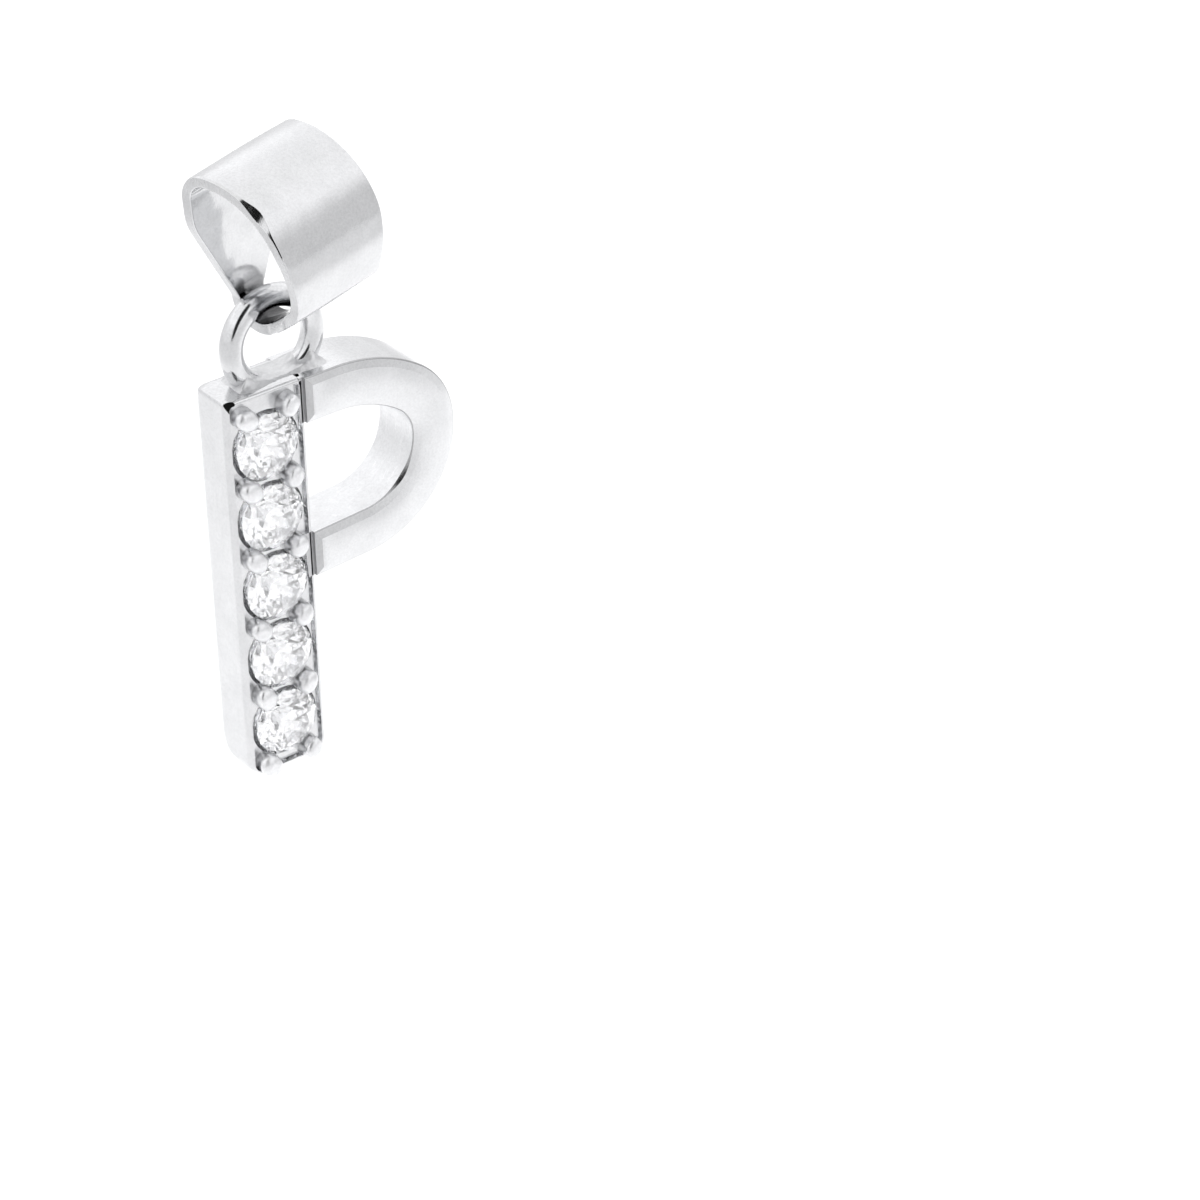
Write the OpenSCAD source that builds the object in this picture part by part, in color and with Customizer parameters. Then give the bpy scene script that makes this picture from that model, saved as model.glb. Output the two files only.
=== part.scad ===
// Initial pendant: the letter P with a row of round stones, hanging by its jump ring from a bail.
// Millimetres, +Z up, the letter faces -Y. The origin is where the chain bears inside the bail.

/* [Stem] */
// Height of the letter
letter_h = 12.35; // [10.8:0.05:15]
// Depth of the stem, front to back
stem_d = 1.65; // [1.5:0.05:2.4]
// Rounding of the back edge at the foot of the stem
foot_round = 1; // [0.3:0.05:1.2]
// Rounding of the stem's two lower corners, seen from the front
foot_corner = 0.45; // [0.3:0.05:0.5]
// Rounding of the stem's other outer corners
corner_round = 0.3; // [0.15:0.05:0.45]
// Width of the bevel on the stem's two front edges, seen from the front
stem_bevel_w = 0.1; // [0.05:0.01:0.15]
// Depth of that bevel, seen from the side
stem_bevel_d = 0.24; // [0.1:0.01:0.35]

/* [Bowl] */
// Width of the bowl's band
bowl_w = 1.43; // [1.1:0.01:1.6]
// How far the bowl's front stands out from the stem's front
bowl_proud = 0.22; // [0.15:0.01:0.5]
// Straight stretch of the upper limb, from the stem to the first arc
upper_run = 1; // [0.3:0.05:2]
// Outer radius of the bowl's shallow upper arc
upper_r = 4.87; // [4.2:0.05:6]
// Outer radius of the bowl's tight arc at its side
side_r = 2.54; // [2.2:0.02:2.9]
// Outer radius of the bowl's lower arc
lower_r = 3.27; // [3:0.02:3.6]
// Angle above level at which the upper arc meets the side arc
upper_turn = 53; // [45:1:65]
// Angle above level at which the side arc meets the lower arc
lower_turn = 3; // [0:1:10]
// Rise of the lower limb away from the stem
limb_rise = 3; // [0:0.5:8]
// Width of the bevel on the bowl's front edges
bevel_w = 0.25; // [0.15:0.01:0.4]
// Depth of that bevel
bevel_d = 0.12; // [0.06:0.01:0.14]
// Small bevel on the bowl's back edges
back_bevel = 0.1; // [0.05:0.01:0.2]

/* [Stones] */
// Distance from the top of the letter to the middle of the uppermost prongs
first_prong = 0.62; // [0.5:0.01:0.8]
// Distance from the foot of the letter to the middle of the lowest prongs
last_prong = 0.33; // [0.3:0.01:0.6]
// Metal between the girdles of neighbouring stones
stone_spacing = 0.23; // [0.18:0.01:0.35]
// Metal beside a stone's girdle, out to the side of the stem
side_wall = 0.25; // [0.2:0.01:0.4]
// Depth of the girdle's middle behind the stem's front
girdle_depth = 0.04; // [0:0.01:0.12]
// Width of a stone's table, as a share of its diameter
table_share = 0.55; // [0.5:0.01:0.65]
// Height of a stone's crown, as a share of its diameter
crown_share = 0.16; // [0.12:0.01:0.2]
// Depth of a stone's pavilion, as a share of its diameter
pavilion_share = 0.42; // [0.38:0.01:0.44]
// Clearance between a stone and the metal round it
stone_gap = 0.03; // [0.02:0.01:0.05]

/* [Setting] */
// Width of the bright rim left round the stone channel
rim_w = 0.16; // [0.1:0.01:0.2]
// Depth of the stone channel
channel_d = 0.14; // [0.1:0.01:0.25]
// Diameter of a prong
prong_d = 0.6; // [0.4:0.02:0.64]
// Sideways distance from the stem's middle to a prong's middle
prong_offset = 0.71; // [0.66:0.01:0.78]
// How far a prong's top stands out from the stem's front
prong_proud = 0.36; // [0.2:0.01:0.4]
// Diameter of the light hole behind each stone
light_hole_d = 0.9; // [0.5:0.05:1.1]

/* [Jump ring] */
// Radius of the ring, to the middle of its wire
ring_r = 1.34; // [1.3:0.01:1.6]
// Diameter of the ring's wire
wire_d = 0.68; // [0.5:0.02:0.7]
// Distance from the stem's left side to the ring's middle
ring_x = 2.13; // [1.8:0.01:2.4]
// Depth of the ring's plane behind the stem's front
ring_y = 0.8; // [0.7:0.01:0.9]
// Width of the solder that climbs the ring's foot
solder_w = 0.22; // [0.1:0.01:0.3]

/* [Bail] */
// Width of the strip at the top of the bail
bail_w = 3.8; // [3:0.05:4.4]
// Thickness of the strip
strip_t = 0.36; // [0.3:0.01:0.4]
// Distance from the ring's wire, in the bail's bend, up to where the chain bears
bail_drop = 4.3; // [4:0.05:5]
// Outer radius of the bail's front and top
front_r = 2.7; // [2.5:0.02:2.8]
// Outer radius of the bail's rear shoulder
rear_r = 0.94; // [0.8:0.02:1.1]
// Angle of the rear shoulder behind the top
rear_lean = 6.5; // [5:0.5:15]
// Outer radius of the fold at the bail's lower front
fold_r = 0.6; // [0.5:0.02:0.8]
// Angle of that fold below level
fold_drop = 19.5; // [15:0.5:25]
// How far the top of the bail lies in front of the ring's wire
top_lead = 0.25; // [0.1:0.01:0.4]
// Width of the strip where it passes through the ring
tip_w = 1; // [0.8:0.02:1]
// Width of the strip at the lower front fold
fold_w = 3.28; // [2.6:0.02:3.4]
// Height above the wire at which the rear of the strip reaches its full width
rear_taper_top = 2.9; // [2.6:0.05:3.1]
// Clearance between the ring's wire and the bend of the bail
wire_gap = 0.08; // [0.07:0.01:0.12]
// Turn of the bail about the vertical, as it hangs
bail_yaw = 12.5; // [0:0.5:15]
// Rise of the bail's right end above its left end, as it hangs
bail_tilt = 4; // [0:0.5:6]

/* [Hidden] */
NODES = ["bail", "letter", "stone_1", "stone_2", "stone_3", "stone_4", "stone_5"];
$fn = 96;
silver = [0.86, 0.87, 0.88];
clear = [0.93, 0.96, 0.98];
slack = 0.01;
over = 1;

// The nodes after the bail and the letter are the stones. They share out the length between the
// uppermost and the lowest prongs, and the stem is as wide as they need.
stone_count = len(NODES) - 2;
stone_pitch = (letter_h - first_prong - last_prong) / stone_count;
stone_d = stone_pitch - stone_spacing;
stem_w = stone_d + 2 * side_wall;

stone_r = stone_d / 2;
girdle_t = 0.03 * stone_d;
crown_h = crown_share * stone_d;
pavilion_h = pavilion_share * stone_d;
table_r = table_share * stone_r;
star_r = 0.8 * stone_r;
lower_break_r = 0.32 * stone_r;
prong_r = prong_d / 2;
wire_r = wire_d / 2;

// The letter's own frame has its corner at the stem's lower left front, so it is moved down
// until the top of its ring's wire lies in the bend of the bail.
wire_at = [
    bail_drop * sin(bail_tilt) * cos(bail_yaw) - top_lead * sin(bail_yaw),
    bail_drop * sin(bail_tilt) * sin(bail_yaw) + top_lead * cos(bail_yaw),
    -bail_drop * cos(bail_tilt)
];
ring_z = letter_h + ring_r - wire_r;
letter_at = wire_at - [ring_x, ring_y, ring_z + ring_r];

function polar(r, a) = [r * cos(a), r * sin(a)];
function lift(p, y) = [p[0], y, p[1]];

// Centres of the bowl's three arcs, each tangent to the one before.
upper_c = [stem_w + upper_run, letter_h - upper_r];
side_c = upper_c + polar(upper_r - side_r, upper_turn);
lower_c = side_c + polar(side_r - lower_r, lower_turn);
lower_end = -90 + limb_rise;
lower_run = (lower_c[0] + lower_r * cos(lower_end) - stem_w) / cos(limb_rise);

// A square with one corner rounded away, as a cutter that removes only the corner.
module corner_cutter(r) {
    difference() {
        translate([-slack, -slack]) square(r + slack);
        translate([r, r]) circle(r);
    }
}

// A rectangle w by h whose corners are rounded by the four radii, from the origin anticlockwise.
module rounded_rect(w, h, radii) {
    at = [[0, 0], [w, 0], [w, h], [0, h]];
    difference() {
        square([w, h]);
        for (i = [0:3])
            if (radii[i] > 0)
                translate(at[i]) rotate(90 * i) corner_cutter(radii[i]);
    }
}

// Plan of the stem: bevelled at the front, rounded at the back.
module stem_plan() {
    difference() {
        rounded_rect(stem_w, stem_d, [0, 0, corner_round, corner_round]);
        for (side = [0, 1])
            translate([side * stem_w, 0]) mirror([side, 0])
                polygon([[0, 0], [stem_bevel_w, 0], [0, stem_bevel_d]]);
    }
}

module stem_block() {
    intersection() {
        linear_extrude(letter_h) stem_plan();
        translate([0, stem_d, 0]) rotate([90, 0, 0])
            linear_extrude(stem_d)
                rounded_rect(stem_w, letter_h, [foot_corner, foot_corner, 0, corner_round / 2]);
        rotate([90, 0, 90]) linear_extrude(stem_w)
            rounded_rect(stem_d, letter_h, [stem_bevel_w, foot_round, corner_round, stem_bevel_w]);
    }
}

// Section of the bowl's band, drawn from its outer radius inwards; the front is at +y here.
module limb_section(outer_r) {
    front = bowl_proud;
    shoulder = bowl_proud - bevel_d;
    inner_r = outer_r - bowl_w;
    polygon([
        [outer_r - back_bevel, -stem_d],
        [outer_r, -stem_d + back_bevel],
        [outer_r, shoulder],
        [outer_r - bevel_w, front],
        [inner_r + bevel_w, front],
        [inner_r, shoulder],
        [inner_r, -stem_d + back_bevel],
        [inner_r + back_bevel, -stem_d],
    ]);
}

module limb_arc(centre, outer_r, from, to) {
    translate(lift(centre, 0)) rotate([90, 0, 0]) rotate(from)
        rotate_extrude(angle = to - from) limb_section(outer_r);
}

// A straight stretch of the band that leaves an arc at the given angle; onward is 1 or -1.
module limb_straight(centre, outer_r, angle, run, onward) {
    translate(lift(centre, 0)) rotate([90, 0, 0]) rotate(angle)
        translate([0, onward > 0 ? run : 0, 0]) rotate([90, 0, 0])
            linear_extrude(run) limb_section(outer_r);
}

// Cuts the bevel on the two ends of the bowl's raised front, where they meet the stem.
module limb_end_cutter() {
    shoulder = bevel_d - bowl_proud;
    linear_extrude(letter_h + over)
        polygon([
            [stem_w, shoulder],
            [stem_w + bevel_w, -bowl_proud - slack],
            [stem_w + bevel_w, -bowl_proud - over],
            [-over, -bowl_proud - over],
            [-over, 0],
            [stem_w, 0],
        ]);
}

module bowl() {
    difference() {
        union() {
            limb_straight(upper_c, upper_r, 90, upper_run, 1);
            limb_arc(upper_c, upper_r, upper_turn, 90);
            limb_arc(side_c, side_r, lower_turn, upper_turn);
            limb_arc(lower_c, lower_r, lower_end, lower_turn);
            limb_straight(lower_c, lower_r, lower_end, lower_run + bowl_w * sin(limb_rise), -1);
        }
        limb_end_cutter();
    }
}

// Fills the stem's rounded right-hand edges where the two limbs grow out of it.
module limb_roots() {
    depth = stem_d - back_bevel;
    run = corner_round + slack;
    lower_z = lower_c[1] + lower_r * sin(lower_end) - lower_run * sin(limb_rise);
    for (z = [letter_h - bowl_w, lower_z + back_bevel])
        translate([stem_w - run, stem_bevel_w / 2, z + back_bevel])
            cube([run, depth - stem_bevel_w / 2, bowl_w - 2 * back_bevel]);
}

// A shallow channel over the front of the stem, with a bright rim left all round it.
module channel() {
    length = letter_h - 2 * rim_w;
    translate([rim_w, channel_d, rim_w]) rotate([90, 0, 0])
        linear_extrude(channel_d + over)
            rounded_rect(stem_w - 2 * rim_w, length, [for (i = [0:3]) corner_round / 2]);
}

// Height of the i-th row of prongs from the top; a stone lies halfway between two rows.
function row_z(i) = letter_h - first_prong - i * stone_pitch;

// Two prongs at each gap between stones, and two at each end of the row.
module prongs() {
    for (i = [0:stone_count], side = [-1, 1])
        translate([stem_w / 2 + side * prong_offset, channel_d + slack, row_z(i)])
            rotate([90, 0, 0]) {
                cylinder(h = channel_d + slack + prong_proud - prong_r, r = prong_r);
                translate([0, 0, channel_d + slack + prong_proud - prong_r]) sphere(prong_r);
            }
}

// Space that one stone takes with its clearance, and the light hole behind it.
module seat() {
    r = stone_r + stone_gap;
    rotate([90, 0, 0]) {
        rotate_extrude() polygon([
            [0, -pavilion_h - stone_gap * 2],
            [r, -girdle_t / 2 - stone_gap / 2],
            [r, girdle_t / 2 + stone_gap / 2],
            [table_r + stone_gap, crown_h + girdle_t / 2],
            [table_r + stone_gap, crown_h + over],
            [0, crown_h + over],
        ]);
        translate([0, 0, -stem_d - over])
            cylinder(h = stem_d + over - pavilion_h / 2, d = light_hole_d);
    }
}

module seats() {
    for (i = [1:stone_count])
        translate([stem_w / 2, girdle_depth, row_z(i - 0.5)]) seat();
}

// The wire ring stands in the letter's plane, its foot sunk in the top edge and soldered there.
module jump_ring() {
    translate([ring_x, ring_y, ring_z]) rotate([90, 0, 0])
        rotate_extrude() translate([ring_r, 0]) circle(wire_r);
}

// Solder drawn up both flanks of the ring's foot in a hollow curve, round at both ends.
module solder() {
    half = wire_r + solder_w;
    run = 2 * sqrt(pow(ring_r, 2) - pow(ring_r - wire_r, 2)) + wire_r;
    intersection() {
        translate([ring_x - run / 2, ring_y, letter_h - slack]) rotate([90, 0, 90])
            linear_extrude(run) difference() {
                translate([-half, 0]) square([2 * half, solder_w + slack]);
                for (side = [-1, 1])
                    translate([side * half, solder_w + slack]) circle(solder_w);
            }
        translate([ring_x - run / 2, ring_y - half, letter_h - over])
            linear_extrude(2 * over)
                rounded_rect(run, 2 * half, [for (i = [0:3]) half - slack]);
    }
}

module letter_metal() {
    difference() {
        union() {
            difference() {
                stem_block();
                channel();
            }
            limb_roots();
            bowl();
            prongs();
            jump_ring();
            solder();
        }
        seats();
    }
}

// A round brilliant: table, stars, kites and halves above the girdle, mains and halves below.
// Its axis is Z and the girdle's middle is at the origin.
module brilliant() {
    half_turn = 22.5;
    g = girdle_t / 2;
    star_z = g + crown_h * (stone_r - star_r * cos(half_turn)) / (stone_r - table_r);
    break_z = -g - pavilion_h * (stone_r - lower_break_r * cos(half_turn)) / stone_r;
    function ring(r, z, count, from) =
        [for (k = [0:count - 1]) [r * cos(from + k * 360 / count), r * sin(from + k * 360 / count), z]];
    points = concat(
        ring(table_r, crown_h + g, 8, 0),
        ring(star_r, star_z, 8, half_turn),
        ring(stone_r, g, 16, 0),
        ring(stone_r, -g, 16, 0),
        ring(lower_break_r, break_z, 8, half_turn),
        [[0, 0, -pavilion_h - g]]
    );
    star = 8;
    upper = 16;
    lower = 32;
    break = 48;
    culet = 56;
    faces = concat(
        [[for (k = [7:-1:0]) k]],
        [for (k = [0:7]) [k, (k + 1) % 8, star + k]],
        [for (k = [0:7]) [k, star + k, upper + 2 * k, star + (k + 7) % 8]],
        [for (k = [0:7]) [star + k, upper + 2 * k + 1, upper + 2 * k]],
        [for (k = [0:7]) [star + k, upper + (2 * k + 2) % 16, upper + 2 * k + 1]],
        [for (k = [0:15]) [upper + k, upper + (k + 1) % 16, lower + (k + 1) % 16, lower + k]],
        [for (k = [0:7]) [lower + 2 * k, lower + 2 * k + 1, break + k]],
        [for (k = [0:7]) [lower + 2 * k + 1, lower + (2 * k + 2) % 16, break + k]],
        [for (k = [0:7]) [lower + 2 * k, break + k, culet, break + (k + 7) % 8]]
    );
    polyhedron(points = points, faces = faces);
}

// Centres of the bail's rounded corners in its side view, where x points back and y up,
// measured from the middle of the ring's wire.
front_c = [-top_lead, bail_drop + strip_t - front_r];
rear_c = front_c + polar(front_r - rear_r, 90 - rear_lean);
fold_c = front_c + polar(front_r - fold_r, 180 + fold_drop);
bend_c = [0, 0];

// Inside the bend the wire curves away from its top towards both edges of the tip, and the
// bail's turn and tilt set it askew, so the bend is rounder than the wire by these amounts.
tip_turn = asin(tip_w / 2 / ring_r);
wire_fall = ring_r * (1 - cos(tip_turn)) + tip_w / 2 * sin(bail_tilt);
wire_skew = tip_w / 2 * sin(bail_yaw);
bend_r = wire_r / cos(tip_turn) + norm([wire_fall, wire_skew]) + wire_gap + strip_t;

function tangent_angle(p, rp, q, rq, side) =
    atan2(q[1] - p[1], q[0] - p[0]) + side * acos((rp - rq) / norm(q - p));

// Area inside the bail's strip: inset 0 is its outer face and inset strip_t its inner face.
module bail_outline(inset) {
    rear_a = tangent_angle(bend_c, bend_r, rear_c, rear_r, -1);
    fold_a = tangent_angle(bend_c, bend_r, fold_c, fold_r, 1);
    sweep = (90 + rear_lean + fold_drop) / 4;
    intersection() {
        translate(front_c) circle(front_r - inset);
        polygon(concat(
            [front_c],
            [for (i = [0:4]) front_c + polar(2 * front_r, 90 - rear_lean + i * sweep)]
        ));
    }
    translate(rear_c) circle(rear_r - inset);
    translate(fold_c) circle(fold_r - inset);
    translate(bend_c) circle(bend_r - inset);
    polygon([
        bend_c,
        bend_c + polar(bend_r - inset, rear_a),
        rear_c + polar(rear_r - inset, rear_a),
        rear_c,
        front_c,
        fold_c,
        fold_c + polar(fold_r - inset, fold_a),
        bend_c + polar(bend_r - inset, fold_a),
    ]);
}

// Outline that narrows the strip: rows of [height or distance, width], mirrored about the middle.
module taper_outline(rows) {
    last = len(rows) - 1;
    polygon(concat(
        [for (i = [0:last]) [-rows[i][1] / 2, rows[i][0]]],
        [for (i = [last:-1:0]) [rows[i][1] / 2, rows[i][0]]]
    ));
}

// The rear wall narrows in front view from the full strip to the tip that passes the ring.
module rear_taper() {
    top = bail_drop + strip_t + slack;
    rotate([90, 0, 0]) translate([0, 0, -2 * front_r]) linear_extrude(2 * front_r)
        taper_outline([
            [-bend_r - slack, tip_w],
            [0, tip_w],
            [rear_taper_top, bail_w],
            [top, bail_w],
        ]);
}

// The front wall narrows a little down to the fold, and the tail below it down to the tip.
module front_taper() {
    top = bail_drop + strip_t + slack;
    split = fold_c[1];
    rotate([90, 0, 0]) linear_extrude(2 * front_r)
        taper_outline([[split, fold_w], [rear_taper_top, bail_w], [top, bail_w]]);
    rotate([0, 0, 180]) translate([0, 0, -bend_r - slack]) linear_extrude(split + bend_r + slack)
        taper_outline([
            [0, tip_w],
            [bend_r / 2, tip_w],
            [-fold_c[0], fold_w],
            [2 * front_r, fold_w],
        ]);
}

// One strip, bent to a teardrop loop and closed under the ring's wire.
module bail() {
    color(silver)
        translate(wire_at) rotate([0, -bail_tilt, bail_yaw])
            intersection() {
                rotate([90, 0, 90])
                    linear_extrude(bail_w, center = true) difference() {
                        bail_outline(0);
                        bail_outline(strip_t);
                    }
                union() {
                    rear_taper();
                    front_taper();
                }
            }
}

module letter() {
    color(silver) translate(letter_at) letter_metal();
}

module stone(number) {
    color(clear)
        translate(letter_at + [stem_w / 2, girdle_depth, row_z(number - 0.5)])
            rotate([90, 0, 0]) brilliant();
}

bail();
letter();
stone(1);  // stone_1
stone(2);  // stone_2
stone(3);  // stone_3
stone(4);  // stone_4
stone(5);  // stone_5
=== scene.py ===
import math

import bmesh
import bpy
import numpy as np
from mathutils import Matrix, Vector, noise


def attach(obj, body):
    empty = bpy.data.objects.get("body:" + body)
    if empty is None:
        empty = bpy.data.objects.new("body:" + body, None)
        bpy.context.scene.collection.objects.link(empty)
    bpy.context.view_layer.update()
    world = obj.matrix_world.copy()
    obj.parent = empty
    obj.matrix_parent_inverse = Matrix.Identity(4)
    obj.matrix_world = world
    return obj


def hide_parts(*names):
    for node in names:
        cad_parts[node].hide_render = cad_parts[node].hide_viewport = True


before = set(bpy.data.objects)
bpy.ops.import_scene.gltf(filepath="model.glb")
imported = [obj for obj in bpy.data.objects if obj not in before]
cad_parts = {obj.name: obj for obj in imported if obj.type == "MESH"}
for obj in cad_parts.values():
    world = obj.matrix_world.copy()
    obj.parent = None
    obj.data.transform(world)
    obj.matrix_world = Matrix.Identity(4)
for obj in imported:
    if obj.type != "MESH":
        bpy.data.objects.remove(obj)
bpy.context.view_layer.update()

# Sizes in millimetres and angles in degrees, by the names that the part's source gives them.
# The letter's own origin is the lower left front corner of its stem.
LETTER_H = 12.35
STEM_W = 2.55
STEM_D = 1.65
FOOT_ROUND = 1.0
FOOT_CORNER = 0.45
CORNER_ROUND = 0.3
STEM_BEVEL_W = 0.1
STEM_BEVEL_D = 0.24

# Bowl: three arcs from the top edge round to the lower limb, which rises a little to the stem
BOWL_W = 1.43
BOWL_PROUD = 0.22
UPPER_RUN = 1.0
UPPER_R = 4.87
SIDE_R = 2.54
LOWER_R = 3.27
UPPER_TURN = 53.0
LOWER_TURN = 3.0
LIMB_RISE = 3.0
BEVEL_W = 0.25
BEVEL_D = 0.12
BACK_BEVEL = 0.1

# Stones in their channel, with a row of prongs above, between and below them
STONES = 5
STONE_D = 2.05
STONE_PITCH = 2.28
STONE_GAP = 0.03
GIRDLE_DEPTH = 0.04
PAVILION_H = 0.861
LIGHT_HOLE_D = 0.9
RIM_W = 0.16
CHANNEL_D = 0.14
FIRST_PRONG = 0.62
PRONG_D = 0.6
PRONG_OFFSET = 0.71
PRONG_PROUD = 0.36

# Jump ring
RING_R = 1.34
WIRE_R = 0.34
RING_X = 2.13
RING_Y = 0.8

# Bail
BAIL_W = 3.8
STRIP_T = 0.36
BAIL_DROP = 4.3
FRONT_R = 2.7
REAR_R = 0.94
REAR_LEAN = 6.5
FOLD_R = 0.6
FOLD_DROP = 19.5
FOLD_W = 3.28
TOP_LEAD = 0.25
TIP_W = 1.0
REAR_TAPER_TOP = 2.9
WIRE_GAP = 0.08
BAIL_YAW = 12.5
BAIL_TILT = 4.0

RING_Z = LETTER_H + RING_R - WIRE_R
YAW = math.radians(BAIL_YAW)
TILT = math.radians(BAIL_TILT)
WIRE_AT = Vector((
    BAIL_DROP * math.sin(TILT) * math.cos(YAW) - TOP_LEAD * math.sin(YAW),
    BAIL_DROP * math.sin(TILT) * math.sin(YAW) + TOP_LEAD * math.cos(YAW),
    -BAIL_DROP * math.cos(TILT),
))
LETTER_AT = WIRE_AT - Vector((RING_X, RING_Y, RING_Z + RING_R))
STONE_Z = [LETTER_H - FIRST_PRONG - (i + 0.5) * STONE_PITCH for i in range(STONES)]
PRONG_Z = [LETTER_H - FIRST_PRONG - i * STONE_PITCH for i in range(STONES + 1)]


# Meshes are made in millimetres and scaled to metres in place().
def polar(r, degrees):
    a = math.radians(degrees)
    return np.array([r * math.cos(a), r * math.sin(a)])


def bell(x, middle, width):
    return math.exp(-((x - middle) / width) ** 2)


def make(name, verts, faces, tags=None):
    """A mesh object, with the material numbers of its faces as tags."""
    mesh = bpy.data.meshes.new(name)
    mesh.from_pydata([tuple(v) for v in verts], [], faces)
    if tags:
        mesh.polygons.foreach_set("material_index", tags)
    mesh.update()
    obj = bpy.data.objects.new(name, mesh)
    bpy.context.scene.collection.objects.link(obj)
    bm = bmesh.new()
    bm.from_mesh(mesh)
    bmesh.ops.remove_doubles(bm, verts=bm.verts, dist=1e-5)
    bmesh.ops.recalc_face_normals(bm, faces=bm.faces)
    bm.to_mesh(mesh)
    bm.free()
    return obj


def apply_modifiers(obj):
    depsgraph = bpy.context.evaluated_depsgraph_get()
    obj.data = bpy.data.meshes.new_from_object(obj.evaluated_get(depsgraph))
    obj.modifiers.clear()


def cut(obj, cutters):
    for cutter in cutters:
        m = obj.modifiers.new("cut", "BOOLEAN")
        m.operation, m.solver, m.object = "DIFFERENCE", "EXACT", cutter
        apply_modifiers(obj)
    for cutter in cutters:
        bpy.data.objects.remove(cutter)


def smooth(obj, degrees, weighted=True):
    """Smooth shading with edges sharper than the angle kept, and broad faces left flat where weighted."""
    obj.data.shade_smooth()
    obj.data.set_sharp_from_angle(angle=math.radians(degrees))
    if weighted:
        m = obj.modifiers.new("normals", "WEIGHTED_NORMAL")
        m.keep_sharp, m.weight = True, 90
        apply_modifiers(obj)


def place(obj, at, node, materials, turn=Matrix.Identity(4)):
    """Puts a piece in the frame for a CAD node, whose body has the node's name, and hides the node."""
    obj.data.transform(Matrix.Scale(0.001, 4) @ Matrix.Translation(at) @ turn)
    obj.data.update()
    indices = [f.material_index for f in obj.data.polygons]
    obj.data.materials.clear()
    for material in materials:
        obj.data.materials.append(material)
    obj.data.polygons.foreach_set("material_index", indices)
    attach(obj, node)
    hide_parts(node)


def loft(loops, closed_path=False):
    """Verts and faces of a skin over equal loops of points, capped unless its path is closed."""
    count = len(loops[0])
    verts = [p for loop in loops for p in loop]
    faces = []
    for i in range(len(loops) if closed_path else len(loops) - 1):
        a, b = i * count, (i + 1) % len(loops) * count
        for j in range(count):
            k = (j + 1) % count
            faces.append((a + j, a + k, b + k, b + j))
    if not closed_path:
        faces.append(tuple(range(count)))
        faces.append(tuple(range((len(loops) - 1) * count, len(loops) * count)))
    return verts, faces


def rounded_polygon(corners, segments=3):
    """Corners are (x, y, radius) in order; each is replaced by an arc of segments + 1 points."""
    points = []
    count = len(corners)
    for i, (x, y, r) in enumerate(corners):
        p = np.array([x, y])
        if r <= 0:
            points.append(p)
            continue
        a = np.array(corners[i - 1][:2]) - p
        b = np.array(corners[(i + 1) % count][:2]) - p
        a, b = a / np.linalg.norm(a), b / np.linalg.norm(b)
        half = math.acos(max(-1, min(1, float(a @ b)))) / 2
        reach = r / math.tan(half)
        centre = p + (a + b) / np.linalg.norm(a + b) * r / math.sin(half)
        start, end = p + a * reach - centre, p + b * reach - centre
        turn = math.atan2(start[0] * end[1] - start[1] * end[0], float(start @ end))
        for k in range(segments + 1):
            t = turn * k / segments
            c, s = math.cos(t), math.sin(t)
            points.append(centre + np.array([c * start[0] - s * start[1], s * start[0] + c * start[1]]))
    return points


# Bail, in its own side view: x to the back and y up from the middle of the ring's wire
FRONT_C = np.array([-TOP_LEAD, BAIL_DROP + STRIP_T - FRONT_R])
REAR_C = FRONT_C + polar(FRONT_R - REAR_R, 90 - REAR_LEAN)
FOLD_C = FRONT_C + polar(FRONT_R - FOLD_R, 180 + FOLD_DROP)
TIP_TURN = math.asin(TIP_W / 2 / RING_R)
WIRE_FALL = RING_R * (1 - math.cos(TIP_TURN)) + TIP_W / 2 * math.sin(TILT)
WIRE_SKEW = TIP_W / 2 * math.sin(YAW)
BEND_R = WIRE_R / math.cos(TIP_TURN) + math.hypot(WIRE_FALL, WIRE_SKEW) + WIRE_GAP + STRIP_T
BAIL_TURN = Matrix.Rotation(YAW, 4, "Z") @ Matrix.Rotation(-TILT, 4, "Y")

# The strip's near edge is nearly sharp and rubbed flat where it faces up to the front, at this angle over the
# horizontal. The other edges are rounded. The faces are crowned and lightly dented, except near the bend.
NEAR_R = 0.018
STRIP_EDGE_R = 0.055
RUBBED_AT = 51
RUBBED_SPREAD = 10
OUTER_CROWN = 0.02
INNER_CROWN = -0.012
STRIP_DENT = 0.014
DENTS_FADE = 1.5
# The fold low at the front lies between these angles and below this height; it is painted darker as shade.
FOLD_FROM, FOLD_TO, FOLD_Y = -130, -31, -1.2
# Each corner of the strip's section has four points. After the last of each, the key here, the straight
# stretch is split in so many parts.
STRIP_SPLITS = {3: 3, 7: 14, 11: 4, 15: 14, 19: 4}
FACE, INSIDE, DULL_SHADED = 0, 1, 2


def tangent_angle(p, rp, q, rq, side):
    d = q - p
    lean = math.degrees(math.acos((rp - rq) / np.linalg.norm(d)))
    return math.degrees(math.atan2(d[1], d[0])) + side * lean


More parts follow.
